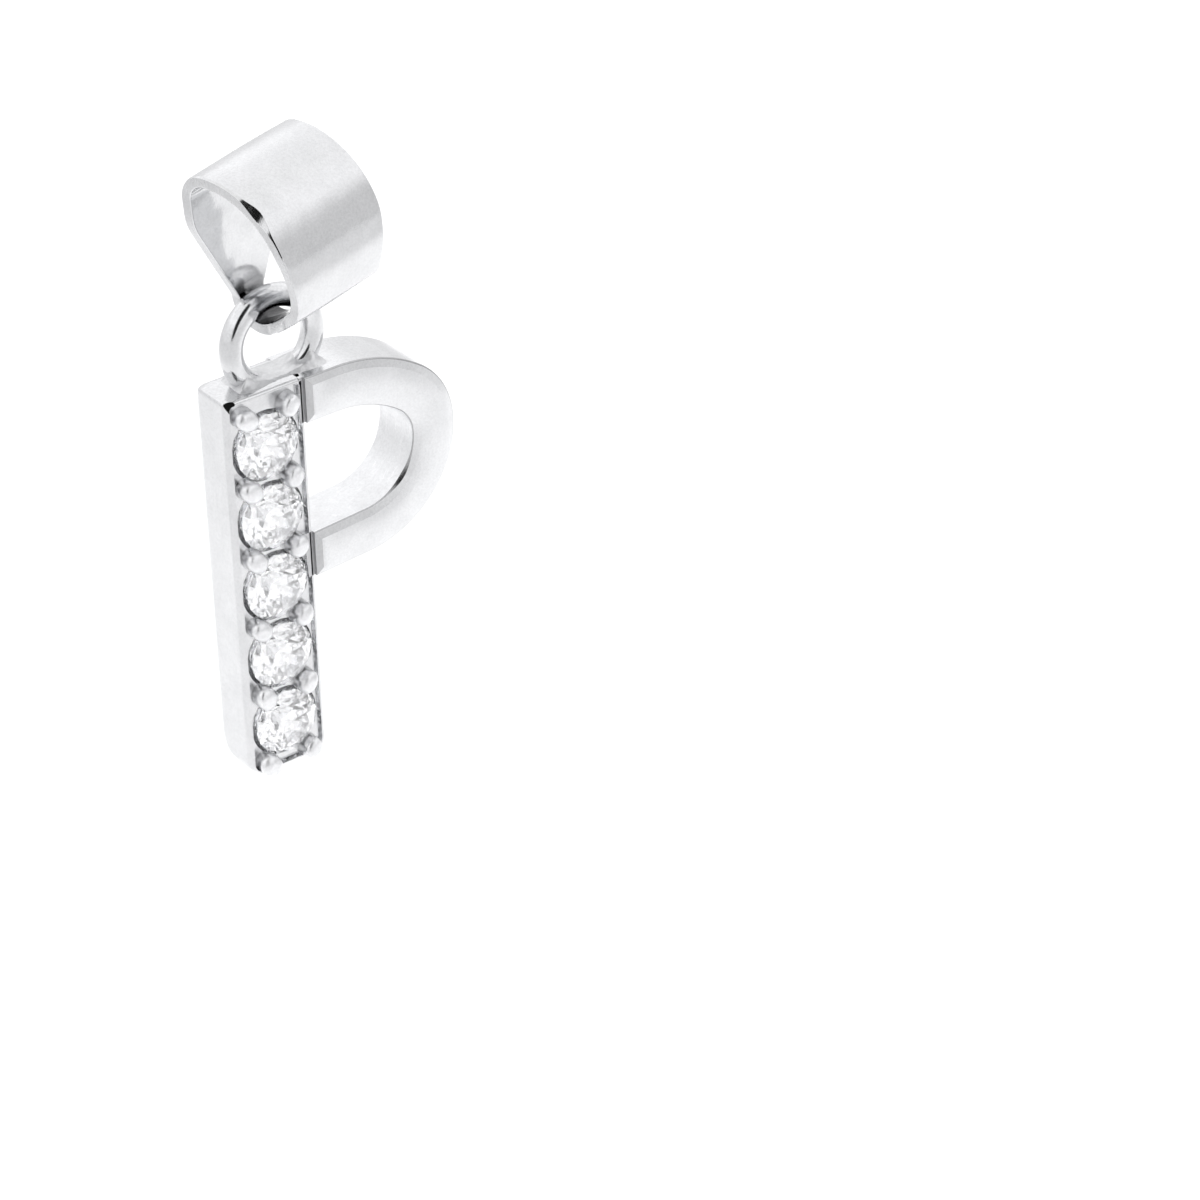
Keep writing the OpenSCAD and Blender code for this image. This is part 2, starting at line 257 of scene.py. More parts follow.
def bail_loop():
    """Outer side view of the strip: points with outward normals, from the rear of the bend round the top."""
    arc_step, straight_step = 0.09, 0.1
    origin = np.zeros(2)
    rear_a = tangent_angle(origin, BEND_R, REAR_C, REAR_R, -1)
    fold_a = tangent_angle(origin, BEND_R, FOLD_C, FOLD_R, 1) % 360
    arcs = [
        (REAR_C, REAR_R, rear_a, 90 - REAR_LEAN),
        (FRONT_C, FRONT_R, 90 - REAR_LEAN, 180 + FOLD_DROP),
        (FOLD_C, FOLD_R, 180 + FOLD_DROP, fold_a),
        (origin, BEND_R, fold_a, rear_a + 360),
    ]
    points, normals = [], []

    def run_straight(to, normal):
        here = points[-1]
        parts = int(np.linalg.norm(to - here) / straight_step)
        for m in range(1, parts):
            points.append(here + (to - here) * m / parts)
            normals.append(normal)

    for centre, r, start, end in arcs:
        steps = max(10, int(abs(end - start) * math.pi / 180 * r / arc_step))
        for k in range(steps + 1):
            a = start + (end - start) * k / steps
            p, n = centre + polar(r, a), polar(1, a)
            gap = np.linalg.norm(p - points[-1]) if points else straight_step
            if gap < 1e-6:
                continue
            if gap > 2 * straight_step:
                run_straight(p, n)
            points.append(p)
            normals.append(n)
    run_straight(points[0], normals[0])
    return np.array(points), np.array(normals)


def bail_width(p):
    """The strip's full width at a point of the side view: the rear wall, the front wall or the tail."""
    x, y = p
    if x > FRONT_C[0] - 0.2 and y < REAR_TAPER_TOP + 1:
        return float(np.interp(y, [0, REAR_TAPER_TOP], [TIP_W, BAIL_W]))
    if y >= FOLD_C[1]:
        return float(np.interp(y, [FOLD_C[1], REAR_TAPER_TOP], [FOLD_W, BAIL_W]))
    return float(np.interp(-x, [BEND_R / 2, -FOLD_C[0]], [TIP_W, FOLD_W]))


def strip_section(w, rub, slope):
    """The strip's section as (across, depth) points; rub and slope shape the flat rubbed on its near edge."""
    half = w / 2
    section = rounded_polygon([
        (-half, -rub, NEAR_R), (-half + slope * rub, 0, NEAR_R), (half, 0, STRIP_EDGE_R),
        (half, -STRIP_T, STRIP_EDGE_R), (-half, -STRIP_T, STRIP_EDGE_R)])
    profile = []
    for i, q in enumerate(section):
        after = section[(i + 1) % len(section)]
        parts = STRIP_SPLITS.get(i, 1)
        profile += [q + (after - q) * m / parts for m in range(parts)]
    return profile


def build_bail():
    points, normals = bail_loop()
    full = np.array([bail_width(p) for p in points])
    widths = full
    # corners in the strip's outline are eased, but nowhere is it wider than in the part's source
    for _ in range(12):
        widths = np.minimum((np.roll(widths, 1) + 2 * widths + np.roll(widths, -1)) / 4, full)
    loops = []
    for p, n, w in zip(points, normals, widths):
        inner_share = min(w, bail_width(p - n * STRIP_T)) / w
        rise = math.degrees(math.atan2(n[1], -n[0]))
        wobble = 0.02 * noise.noise(Vector((p[0] * 1.5, p[1] * 1.5, 7.0)))
        rub = 0.03 + (0.1 + wobble) * bell(rise, RUBBED_AT, RUBBED_SPREAD)
        slope = 1.2 + 0.035 * min(30, max(0, rise - 40))
        near_bend = min(1, np.hypot(*p) / DENTS_FADE)
        loop = []
        for across, depth in strip_section(w, rub, slope):
            outer = depth > -STRIP_T / 2
            share = 2 * across / w
            crown = (OUTER_CROWN if outer else INNER_CROWN) * share * share
            where = Vector((across * 0.55 + 3.1, p[0] * 0.6, p[1] * 0.6))
            dent = STRIP_DENT * noise.noise(where) * (1 if outer else 0.6) * near_bend
            q = p + n * (depth - crown + dent)
            narrowed = 1 + (inner_share - 1) * min(1, max(0, -depth / STRIP_T))
            loop.append((across * narrowed, q[0], q[1]))
        loops.append(loop)
    obj = make("bail_strip", *loft(loops, closed_path=True))
    tag_strip(obj)
    smooth(obj, 32)
    return obj


def tag_strip(obj):
    """The inside gets its own polish with deep painted shade, and the cut edges and the fold low at the front
    are dull and painted darker as shade.
    """
    centre = Vector((0, FRONT_C[0] + 0.6, FRONT_C[1] - 0.4))
    for f in obj.data.polygons:
        to_middle = centre - f.center
        to_middle.x = 0
        rise = math.degrees(math.atan2(f.normal.z, -f.normal.y))
        cut_edge = abs(f.normal.x) > 0.75
        inside = abs(f.normal.x) < 0.5 and f.normal.dot(to_middle) > 0
        folded = f.center.y < FOLD_Y and FOLD_FROM < rise < FOLD_TO
        f.material_index = DULL_SHADED if cut_edge or (folded and not inside) else INSIDE if inside else FACE


# Letter, with x to the right, y to the back and z up from its foot. The numbers are those of the stem's and
# the bowl's materials: both have METAL and EDGE_SHADE.
METAL, SEAT_LIT, NICK, EDGE_SHADE = 0, 1, 2, 3
WALL, CAST_SHADED = 1, 2


def end_inset(r, from_end):
    """How far a rounding of radius r stands back at a distance from the end."""
    return r - math.sqrt(max(0, r * r - (r - from_end) ** 2)) if from_end < r else 0


# The stem's left front edge has the bevel of the part's source, and the right one is only eased.
LEFT_EDGE_R = 0.045
RIGHT_EDGE_R = 0.03
RIGHT_BEVEL_W = 0.04
RIGHT_BEVEL_D = 0.1


def stem_loop(z):
    """Plan of the stem at height z, with the roundings of its foot and top."""
    top = LETTER_H - z
    x0 = max(end_inset(FOOT_CORNER, z), end_inset(CORNER_ROUND / 2, top))
    x1 = STEM_W - end_inset(FOOT_CORNER, z)
    y1 = STEM_D - max(end_inset(FOOT_ROUND, z), end_inset(CORNER_ROUND, top))
    y0 = max(end_inset(STEM_BEVEL_W, z), end_inset(STEM_BEVEL_W, top))
    corners = [
        (x0 + STEM_BEVEL_W, y0, LEFT_EDGE_R),
        (x1 - RIGHT_BEVEL_W, y0, RIGHT_EDGE_R),
        (x1, y0 + RIGHT_BEVEL_D, RIGHT_EDGE_R),
        (x1, y1, CORNER_ROUND),
        (x0, y1, CORNER_ROUND),
        (x0, y0 + STEM_BEVEL_D, LEFT_EDGE_R),
    ]
    return [(x, y, z) for x, y in rounded_polygon(corners, 8)]


def arc_heights(r, degrees):
    """Heights above the end of an arc of radius r, at the angles given."""
    return [r * (1 - math.cos(math.radians(a))) for a in degrees]


def channel_cutter():
    """The sunk channel round the stones: steep sides that flare a little to the front."""
    w, h = STEM_W - 2 * RIM_W, LETTER_H - 2 * RIM_W
    foot_r, top_r, flare = 0.32, 0.15, 0.05
    outline = rounded_polygon([(0, 0, foot_r), (w, 0, foot_r), (w, h, top_r), (0, h, top_r)], 6)
    middle = np.array([w / 2, h / 2])
    widen = 1 + np.array([2 * flare / w, 2 * flare / h])
    wide = [middle + (p - middle) * widen for p in outline]
    verts, faces = loft([[(RIM_W + p[0], y, RIM_W + p[1]) for p in points]
                         for y, points in ((CHANNEL_D, outline), (0.0, wide), (-1, wide))])
    # The channel's sides get the lighter seat copy of the silver: painted light.
    return make("cutter", verts, faces, [SEAT_LIT] * (len(faces) - 2) + [METAL] * 2)


def seat_cutter(z):
    """A stone's seat: open to the front at the girdle's size, with a light hole behind."""
    around = 96
    r = STONE_D / 2 + STONE_GAP
    past = 1
    profile = [
        (LIGHT_HOLE_D / 2, STEM_D + past),
        (LIGHT_HOLE_D / 2, GIRDLE_DEPTH + PAVILION_H * 0.62),
        (r - 0.12, CHANNEL_D + 0.14),
        (r + 0.05, CHANNEL_D - 0.002),
        (r + 0.055, -past),
    ]
    rings = [[(STEM_W / 2 + rr * math.cos(a), y, z + rr * math.sin(a))
              for a in np.linspace(0, 2 * math.pi, around, endpoint=False)] for rr, y in profile]
    # The light hole and the cone behind the girdle get the lighter seat copy: painted light.
    verts, faces = loft(rings)
    # The cone up to the girdle and the rim wall get the dark edge copy of the silver: painted shade round the
    # stones.
    return make("cutter", verts, faces, [SEAT_LIT] * 2 * around + [EDGE_SHADE] * 2 * around + [METAL] * 2)


def wear_corner(obj, at, facing, depth):
    """Rubs a small flat on a corner: the plane stands back by depth from the point that lies out furthest."""
    bm = bmesh.new()
    bm.from_mesh(obj.data)
    reach = max((v.co - at).dot(facing) for v in bm.verts if (v.co - at).length < 0.5)
    cutting = bmesh.ops.bisect_plane(
        bm, geom=bm.verts[:] + bm.edges[:] + bm.faces[:], plane_co=at + facing * (reach - depth),
        plane_no=facing, clear_outer=True)
    rim = [e for e in cutting["geom_cut"] if isinstance(e, bmesh.types.BMEdge)]
    for f in bmesh.ops.contextual_create(bm, geom=rim)["faces"]:
        f.material_index = NICK
    bmesh.ops.dissolve_degenerate(bm, edges=bm.edges, dist=1e-4)
    bm.to_mesh(obj.data)
    bm.free()


def build_stem():
    bevel = arc_heights(STEM_BEVEL_W, range(0, 91, 15))
    from_foot = [FOOT_ROUND, *arc_heights(FOOT_ROUND, range(5, 90, 5)),
                 *arc_heights(FOOT_CORNER, range(6, 90, 6)), *bevel]
    from_top = arc_heights(CORNER_ROUND, range(0, 91, 9)) + bevel
    levels = sorted({round(z, 4) for z in from_foot + [LETTER_H - t for t in from_top]})
    obj = make("letter_stem", *loft([stem_loop(z) for z in levels]))
    cut(obj, [channel_cutter()] + [seat_cutter(z) for z in STONE_Z])
    top_left = Vector((0.02, 0.05, LETTER_H - 0.02))
    wear_corner(obj, top_left, Vector((-0.5, -0.72, 0.48)).normalized(), 0.085)
    smooth(obj, 32)
    return obj


def bowl_stations():
    """For each station along the bowl's band, the outer edge's point and its outward direction."""
    upper_c = np.array([STEM_W + UPPER_RUN, LETTER_H - UPPER_R])
    side_c = upper_c + polar(UPPER_R - SIDE_R, UPPER_TURN)
    lower_c = side_c + polar(SIDE_R - LOWER_R, LOWER_TURN)
    lower_end = LIMB_RISE - 90
    inside, degrees_apart = 0.14, 1.5
    straight = [-inside] + [0.1 + 0.15 * k for k in range(6)]
    stations = [(np.array([STEM_W + x, LETTER_H]), polar(1, 90)) for x in straight]
    arcs = [
        (upper_c, UPPER_R, 90, UPPER_TURN),
        (side_c, SIDE_R, UPPER_TURN, LOWER_TURN),
        (lower_c, LOWER_R, LOWER_TURN, lower_end),
    ]
    for centre, r, start, end in arcs:
        steps = int(abs(end - start) / degrees_apart)
        last = steps + 1 if centre is lower_c else steps
        for k in range(last):
            a = start + (end - start) * k / steps
            stations.append((centre + polar(r, a), polar(1, a)))
    tip = lower_c + polar(LOWER_R, lower_end)
    along = polar(1, lower_end - 90)
    run = (tip[0] - STEM_W + inside) / -along[0] + BOWL_W * math.sin(math.radians(LIMB_RISE))
    stations += [(tip + along * run * share, polar(1, lower_end)) for share in np.linspace(0.15, 1, 7)]
    return stations


BOWL_FRONT = -BOWL_PROUD
BOWL_SHOULDER = BEVEL_D - BOWL_PROUD
BOWL_CROWN = 0.03
# Each corner of the bowl's section is an arc of so many points. The front face follows the fourth corner and
# the hole's wall the seventh, and the edges in front, with painted shade lines, are the third, sixth and
# seventh.
ARC_POINTS = 5
FRONT_AFTER = 4 * ARC_POINTS - 1
WALL_AFTER = 7 * ARC_POINTS - 1
EDGE_ARCS = {*range(2 * ARC_POINTS, 3 * ARC_POINTS - 1), *range(5 * ARC_POINTS, WALL_AFTER)}


def bowl_section(rub, crown_share=1.0):
    """The band's section as (outward, back) points, each with the material of the stretch after it. rub is
    the small flat on the hole's front edge, crown_share how much of the front's crown there is."""
    front = BOWL_FRONT + BOWL_CROWN
    back_r, side_r, ridge_r, rub_r = 0.04, 0.06, 0.03, 0.02
    corners = rounded_polygon([
        (-BACK_BEVEL, STEM_D, back_r),
        (0, STEM_D - BACK_BEVEL, back_r),
        (0, BOWL_SHOULDER, side_r),
        (-BEVEL_W, front, ridge_r),
        (BEVEL_W - BOWL_W, front, ridge_r),
        (1.27 * rub - BOWL_W, BOWL_SHOULDER - 0.3 * rub, rub_r),
        (-BOWL_W, BOWL_SHOULDER + rub, rub_r),
        (-BOWL_W, STEM_D - BACK_BEVEL, back_r),
        (BACK_BEVEL - BOWL_W, STEM_D, back_r),
    ], ARC_POINTS - 1)
    points = []
    for i, p in enumerate(corners):
        after = corners[(i + 1) % len(corners)]
        tag = WALL if i == WALL_AFTER else EDGE_SHADE if i in EDGE_ARCS else METAL
        parts = 14 if i == FRONT_AFTER else 1
        for m in range(parts):
            q = p + (after - p) * m / parts
            if i == FRONT_AFTER:
                q = q - np.array([0, crown_share * BOWL_CROWN * (1 - (2 * m / parts - 1) ** 2)])
            points.append((q, tag))
    return points


def build_bowl():
    # the flat on the hole's edge is widest low at the right, and the crown grows out of the stem
    least_rub, more_rub, rubbed_at, rubbed_spread = 0.018, 0.05, -42, 16
    crown_from, crown_run = 0.25, 0.7
    loops = []
    for p, n in bowl_stations():
        around = math.degrees(math.atan2(n[1], n[0]))
        grown = min(1.0, max(0.0, (p[0] - STEM_W - crown_from) / crown_run))
        rub = least_rub + more_rub * bell(around, rubbed_at, rubbed_spread)
        points = bowl_section(rub, grown * grown * (3 - 2 * grown))
        loops.append([(p[0] + n[0] * q[0], q[1], p[1] + n[1] * q[0]) for q, tag in points])
    verts, faces = loft(loops)
    tags = [tag for q, tag in bowl_section(0.02)] * (len(loops) - 1) + [METAL] * 2
    obj = make("letter_bowl", verts, faces, tags)
    # both ends stand proud of the stem, with the same bevel as the sides
    past = 1
    prism = [
        (STEM_W, BOWL_SHOULDER),
        (STEM_W + BEVEL_W, BOWL_FRONT - 0.001),
        (STEM_W + BEVEL_W, -past),
        (STEM_W - past, -past),
        (STEM_W - past, 0.0),
        (STEM_W, 0.0),
    ]
    verts, faces = loft([[(x, y, z) for x, y in prism] for z in (0, LETTER_H + past)])
    # The cut ends get the dark cast copy of the silver: a rough cast finish and painted shade.
    cut(obj, [make("cutter", verts, faces, [CAST_SHADED] * len(faces))])
    smooth(obj, 30)
    return obj


def prong_profile():
    """A bead's side: its foot in the channel, a short shaft and a dome, as (radius, y) points."""
    r = PRONG_D / 2
    shoulder = r - PRONG_PROUD
    dome = [(math.cos(math.radians(a)) ** 0.7, math.sin(math.radians(a)) ** 0.75) for a in range(0, 90, 6)]
    return [(r, CHANNEL_D + 0.18), (r * 0.99, shoulder + 0.02), *[(r * c, shoulder - r * s) for c, s in dome]]


def build_prongs():
    """Beads pushed over the stones: each is turned, stretched and lumped in its own way."""
    verts, faces = [], []
    count = 40
    stretch, squeeze, deepest = 1.12, 0.93, 0.2
    profile = prong_profile()
    for row, z in enumerate(PRONG_Z):
        for side in (-1, 1):
            seed = Vector((row * 1.7, side * 2.3, 0.4))
            size = (1.14 if side < 0 else 1.04) + 0.06 * noise.noise(seed)
            lean = math.radians(5 + 55 * side + 30 * noise.noise(seed * 2))
            ux, uz = math.cos(lean), math.sin(lean)
            middle = STEM_W / 2 + side * PRONG_OFFSET
            base = len(verts)
            for rr, y in profile:
                for k in range(count):
                    a = 2 * math.pi * k / count
                    c, s = math.cos(a), math.sin(a)
                    lump = 1 + 0.07 * noise.noise(seed * 3 + Vector((c, s, y * 3)) * 1.3)
                    dx, dz = rr * size * lump * c, rr * size * lump * s
                    along, across = stretch * (dx * ux + dz * uz), squeeze * (dz * ux - dx * uz)
                    top = 0.03 * noise.noise(seed * 5 + Vector((dx, dz, 0)) * 4) if y < 0 else 0
                    depth = min(deepest, max(-PRONG_PROUD, y + top))
                    verts.append((middle + along * ux - across * uz, depth, z + along * uz + across * ux))
            for i in range(len(profile) - 1):
                a, b = base + i * count, base + (i + 1) * count
                faces += [(a + k, a + (k + 1) % count, b + (k + 1) % count, b + k) for k in range(count)]
            tip = len(verts)
            verts.append((middle, -PRONG_PROUD, z))
            last = tip - count
            faces += [(last + k, last + (k + 1) % count, tip) for k in range(count)]
            faces.append(tuple(base + k for k in range(count)))
    obj = make("letter_prongs", verts, faces)
    smooth(obj, 60, weighted=False)
    return obj


def build_ring():
    """Round wire whose thickness varies a little along it."""
    turns, around = 144, 40
    loops = []
    for i in range(turns):
        a = 2 * math.pi * i / turns
        r = WIRE_R + 0.006 * noise.noise(Vector((math.cos(a) * 1.5, math.sin(a) * 1.5, 0.7)))
        loop = []
        for k in range(around):
            b = 2 * math.pi * k / around
            out = RING_R + r * math.cos(b)
            loop.append((RING_X + out * math.cos(a), RING_Y + r * math.sin(b), RING_Z + out * math.sin(a)))
        loops.append(loop)
    obj = make("letter_ring", *loft(loops, closed_path=True))
    smooth(obj, 60, weighted=False)
    return obj


def solder_heights(xs, ys):
    """Height over the letter's top edge of a hollow fillet round the ring's foot, smooth where they meet."""
    lowest, highest, step = -0.02, 0.5, 0.004
    X, Y = np.meshgrid(xs, ys, indexing="ij")
    blend = 0.08 + 0.34 * np.clip(np.abs(Y) / 0.4, 0, 1) ** 1.5 + 0.1 * np.clip((np.abs(X) - 0.5) / 0.6, 0, 1)
    height = np.full(X.shape, highest)
    reached = np.zeros(X.shape, bool)
    for z in np.arange(lowest, highest, step):
        from_ring = np.hypot(np.hypot(X, z - (RING_R - WIRE_R)) - RING_R, Y) - WIRE_R
        share = np.clip(0.5 + 0.5 * (z - from_ring) / blend, 0, 1)
        from_both = z * (1 - share) + from_ring * share - blend * share * (1 - share)
        new = (from_both > 0) & ~reached
        height[new] = z
        reached |= new
    return np.minimum(height, 0.01 + 0.42 * np.clip((1.55 - np.abs(X)) / 0.5, 0, 1) ** 1.6)


def build_solder():
    """Solder drawn up the ring's foot, a little lumpy as run solder is. Its rim lies under the letter's top
    edge, where a skirt and a floor close it."""
    half_x, half_y, floor_depth = 1.62, 0.7, 0.12
    nx, ny = 130, 60
    xs = np.linspace(-half_x, half_x, nx)
    ys = np.linspace(-half_y, half_y, ny)
    height = solder_heights(xs, ys)
    verts = []
    for i, x in enumerate(xs):
        for j, y in enumerate(ys):
            lump = noise.noise(Vector((x * 2.2, y * 2.2, 1.3)))
            speck = noise.noise(Vector((x * 7, y * 7, 4.1)))
            fall = max(abs(x) / half_x, abs(y) / half_y)
            h = height[i, j] * (1 + 0.25 * lump) + 0.012 * speck - 0.125 * max(0, fall - 0.6)
            verts.append((RING_X + x, RING_Y + y, LETTER_H + h))
    faces = [(i * ny + j, (i + 1) * ny + j, (i + 1) * ny + j + 1, i * ny + j + 1)
             for i in range(nx - 1) for j in range(ny - 1)]
    rim = ([i * ny for i in range(nx)] + [(nx - 1) * ny + j for j in range(1, ny)]
           + [i * ny + ny - 1 for i in range(nx - 2, -1, -1)] + [j for j in range(ny - 2, 0, -1)])
    base, count = len(verts), len(rim)
    verts += [(verts[k][0], verts[k][1], LETTER_H - floor_depth) for k in rim]
    faces += [(rim[k], rim[(k + 1) % count], base + (k + 1) % count, base + k) for k in range(count)]
    faces.append(tuple(range(base, base + count)))
    obj = make("letter_solder", verts, faces)
    obj.data.shade_smooth()
    return obj


# Node helpers: a value is an output socket, which is linked, or a constant
def feed(links, socket, value):
    if isinstance(value, bpy.types.NodeSocket):
        links.new(value, socket)
    else:
        socket.default_value = value


def node_material(name):
    m = bpy.data.materials.new(name)
    m.use_nodes = True
    nodes, links = m.node_tree.nodes, m.node_tree.links
    return m, nodes, links, nodes["Principled BSDF"]


def coords(nodes, links, scale):
    """Object coordinates times a scale for each axis: 1000 makes them millimetres."""
    c = nodes.new("ShaderNodeTexCoord")
    mapping = nodes.new("ShaderNodeMapping")
    mapping.inputs["Scale"].default_value = scale
    links.new(c.outputs["Object"], mapping.inputs["Vector"])
    return mapping.outputs["Vector"]


def noise_node(nodes, links, vector, scale, detail=3.0, rough=0.5):
    n = nodes.new("ShaderNodeTexNoise")
    for key, value in (("Vector", vector), ("Scale", scale), ("Detail", detail), ("Roughness", rough)):
        feed(links, n.inputs[key], value)
    return n.outputs["Fac"]


def spread(nodes, links, value, low, high, from_low=0.3, from_high=0.7, shape="LINEAR"):
    """Maps a value from one range to another, held at its ends."""
    r = nodes.new("ShaderNodeMapRange")
    r.interpolation_type = shape
    for key, v in (("Value", value), ("From Min", from_low), ("From Max", from_high), ("To Min", low),
                   ("To Max", high)):
        feed(links, r.inputs[key], v)
    return r.outputs["Result"]


def mix_colour(nodes, links, a, b, factor, blend="MIX"):
    n = nodes.new("ShaderNodeMix")
    n.data_type, n.blend_type = "RGBA", blend
    for key, value in (("A", a), ("B", b), ("Factor", factor)):
        feed(links, n.inputs[key], value)
    return n.outputs["Result"]


def bump(nodes, links, height, strength, distance, normal=None):
    n = nodes.new("ShaderNodeBump")
    for key, value in (("Height", height), ("Strength", strength), ("Distance", distance)):
        feed(links, n.inputs[key], value)
    if normal:
        links.new(normal, n.inputs["Normal"])
    return n.outputs["Normal"]


def math_node(nodes, links, operation, *values):
    n = nodes.new("ShaderNodeMath")
    n.operation = operation
    for socket, value in zip(n.inputs, values):
        feed(links, socket, value)
    return n.outputs["Value"]


def part_along(nodes, links, direction, axis):
    n = nodes.new("ShaderNodeVectorMath")
    n.operation = "DOT_PRODUCT"
    links.new(direction, n.inputs[0])
    n.inputs[1].default_value = axis
    return n.outputs["Value"]


# Materials
MM = (1000, 1000, 1000)


def silver(name, rough, tint=0.8, scratch=0.3, dents=0.3, crease_shade=0.7, hollow=0.0002):
    """Polished silver: cloudy tint and roughness, rubbed scratches, soft dents, and painted shade in creases.

    tint is the brightness, scratch and dents are the strengths of the bumps, the crease shade is the
    brightness of the painted shade in a hollow, and hollow is how far that painted shade reaches, in metres."""
    m, nodes, links, bsdf = node_material(name)
    mm = coords(nodes, links, MM)
    rubbed = coords(nodes, links, (900, 2600, 260))
    cloud = noise_node(nodes, links, mm, 1.3, 4)
    speck = noise_node(nodes, links, mm, 13, 2, 0.7)
    grain = noise_node(nodes, links, mm, 16, 3)
    waves = noise_node(nodes, links, mm, 0.9, 1)
    fine = noise_node(nodes, links, rubbed, 3.0, 5, 0.65)

    bright = (tint, tint * 1.005, tint * 1.015, 1)
    cloudy = (tint * 0.93, tint * 0.935, tint * 0.945, 1)
    crease_shade_colour = (crease_shade * tint, crease_shade * tint, crease_shade * tint * 1.02, 1)
    colour = mix_colour(nodes, links, bright, cloudy, spread(nodes, links, cloud, 0, 1))
    specks = spread(nodes, links, speck, 0, 1, 0.35, 0.7)
    colour = mix_colour(nodes, links, colour, (0.9, 0.9, 0.9, 1), specks, "MULTIPLY")
    # Painted shade: the colour darkens where ambient occlusion finds surfaces close by, in creases, round the
    # stones and prongs and inside the bail.
    ao = nodes.new("ShaderNodeAmbientOcclusion")
    ao.samples = 6
    ao.inputs["Distance"].default_value = hollow
    open_air = spread(nodes, links, ao.outputs["AO"], 0, 1, 0.25, 0.8)
    colour = mix_colour(nodes, links, crease_shade_colour, colour, open_air)

    normal = bump(nodes, links, waves, dents, 0.00005)
    normal = bump(nodes, links, fine, scratch, 0.000003, normal)
    normal = bump(nodes, links, grain, scratch, 0.000003, normal)
    roughness = spread(nodes, links, fine, rough * 0.7, rough * 1.35)
    bsdf.inputs["Metallic"].default_value = 1.0
    for key, value in (("Base Color", colour), ("Roughness", roughness), ("Normal", normal)):
        feed(links, bsdf.inputs[key], value)
    return m


def stone_material():
    """Clear cut stone, with the facets' own bright glance added to what is seen through them."""
    m, nodes, links, bsdf = node_material("clear_stone")
    haze = noise_node(nodes, links, coords(nodes, links, MM), 6, 3)
    roughness = spread(nodes, links, haze, 0.0, 0.02)
    normal = bump(nodes, links, haze, 0.05, 0.000002)
    for key, value in (("Base Color", (0.985, 0.99, 1.0, 1)), ("Transmission Weight", 1.0), ("IOR", 2.15),
                       ("Roughness", roughness), ("Normal", normal)):
        feed(links, bsdf.inputs[key], value)
    glance = nodes.new("ShaderNodeBsdfGlossy")
    glance.inputs["Color"].default_value = (1, 1, 1, 1)
    glance.inputs["Roughness"].default_value = 0.03
    blend = nodes.new("ShaderNodeMixShader")
    blend.inputs["Fac"].default_value = 0.22
    links.new(bsdf.outputs["BSDF"], blend.inputs[1])
    links.new(glance.outputs["BSDF"], blend.inputs[2])
    links.new(blend.outputs["Shader"], nodes["Material Output"].inputs["Surface"])
    return m


def floor_material():
    m, nodes, links, bsdf = node_material("pale_floor")
    cloud = noise_node(nodes, links, coords(nodes, links, (60, 60, 60)), 1.0, 3)
    colour = mix_colour(nodes, links, (0.81, 0.81, 0.81, 1), (0.795, 0.795, 0.8, 1), cloud)
    feed(links, bsdf.inputs["Base Color"], colour)
    feed(links, bsdf.inputs["Roughness"], 0.8)
    return m


place(build_bail(), WIRE_AT, "bail", [
    silver("silver_bail", 0.11, dents=0.5),
    # Painted shade: ambient occlusion that reaches far darkens the inside nearly to black.
    silver("silver_inside", 0.1, dents=1.0, crease_shade=0.08, hollow=0.0014),
    # Rougher, and painted darker as shade on the fold and the cut edges.
    silver("silver_dull_shaded", 0.3, tint=0.68, scratch=0.6, dents=0.5),
], BAIL_TURN)
# A dark copy of the silver along the bowl's edges and the seats' rims: painted shade lines.
silver_edge_shade = silver("silver_edge_shade", 0.22, tint=0.5, scratch=0.3, dents=0.1)
place(build_stem(), LETTER_AT, "letter", [
    silver("silver_stem", 0.2, tint=0.8, dents=0.25, crease_shade=0.65, hollow=0.0001),
    # A lighter, less shaded copy of the silver: painted light.
    silver("silver_seat_lit", 0.12, tint=0.93, crease_shade=0.9, hollow=0.0001),
    silver("silver_nick", 0.04, scratch=0.1, dents=0.0),
    silver_edge_shade,
])
place(build_bowl(), LETTER_AT, "letter", [
    silver("silver_bowl", 0.17, tint=0.83, dents=0.3),
    silver("silver_wall", 0.34, tint=0.9, scratch=0.6, dents=0.5),
    # Rough cast finish, painted darker as shade.
    silver("silver_cast_shaded", 0.4, tint=0.62, scratch=1.0, dents=1.0),
    silver_edge_shade,
])
place(build_prongs(), LETTER_AT, "letter", [
    silver("silver_prong", 0.36, tint=0.92, scratch=0.6, dents=0.3, crease_shade=0.5, hollow=0.00012),
])
place(build_ring(), LETTER_AT, "letter", [silver("silver_ring", 0.13, dents=0.7)])
place(build_solder(), LETTER_AT, "letter", [silver("silver_solder", 0.36, tint=0.74, scratch=1.0, dents=1.0)])
clear_stone = stone_material()
for i in range(1, STONES + 1):
    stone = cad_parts["stone_%d" % i]
    stone.data.materials.clear()
    stone.data.materials.append(clear_stone)

# Stage, light and camera, in metres
FLOOR_Z = -0.045
FLOOR_SIZE = 1.6
CENTRE = (0.0018, 0.0, -0.010)


def link_object(name, data, at=(0, 0, 0), target=None):
    obj = bpy.data.objects.new(name, data)
    obj.location = at
    if target is not None:
        obj.rotation_euler = (Vector(target) - Vector(at)).to_track_quat("-Z", "Y").to_euler()
    bpy.context.scene.collection.objects.link(obj)
    return obj


def build_floor():
    n = 48
    ticks = [(i / n - 0.5) * FLOOR_SIZE for i in range(n + 1)]
    verts = [(x, y, FLOOR_Z) for x in ticks for y in ticks]
    corners = [i * (n + 1) + j for i in range(n) for j in range(n)]
    mesh = bpy.data.meshes.new("floor")
    mesh.from_pydata(verts, [], [(a, a + n + 1, a + n + 2, a + 1) for a in corners])
    mesh.materials.append(floor_material())
    link_object("floor", mesh)


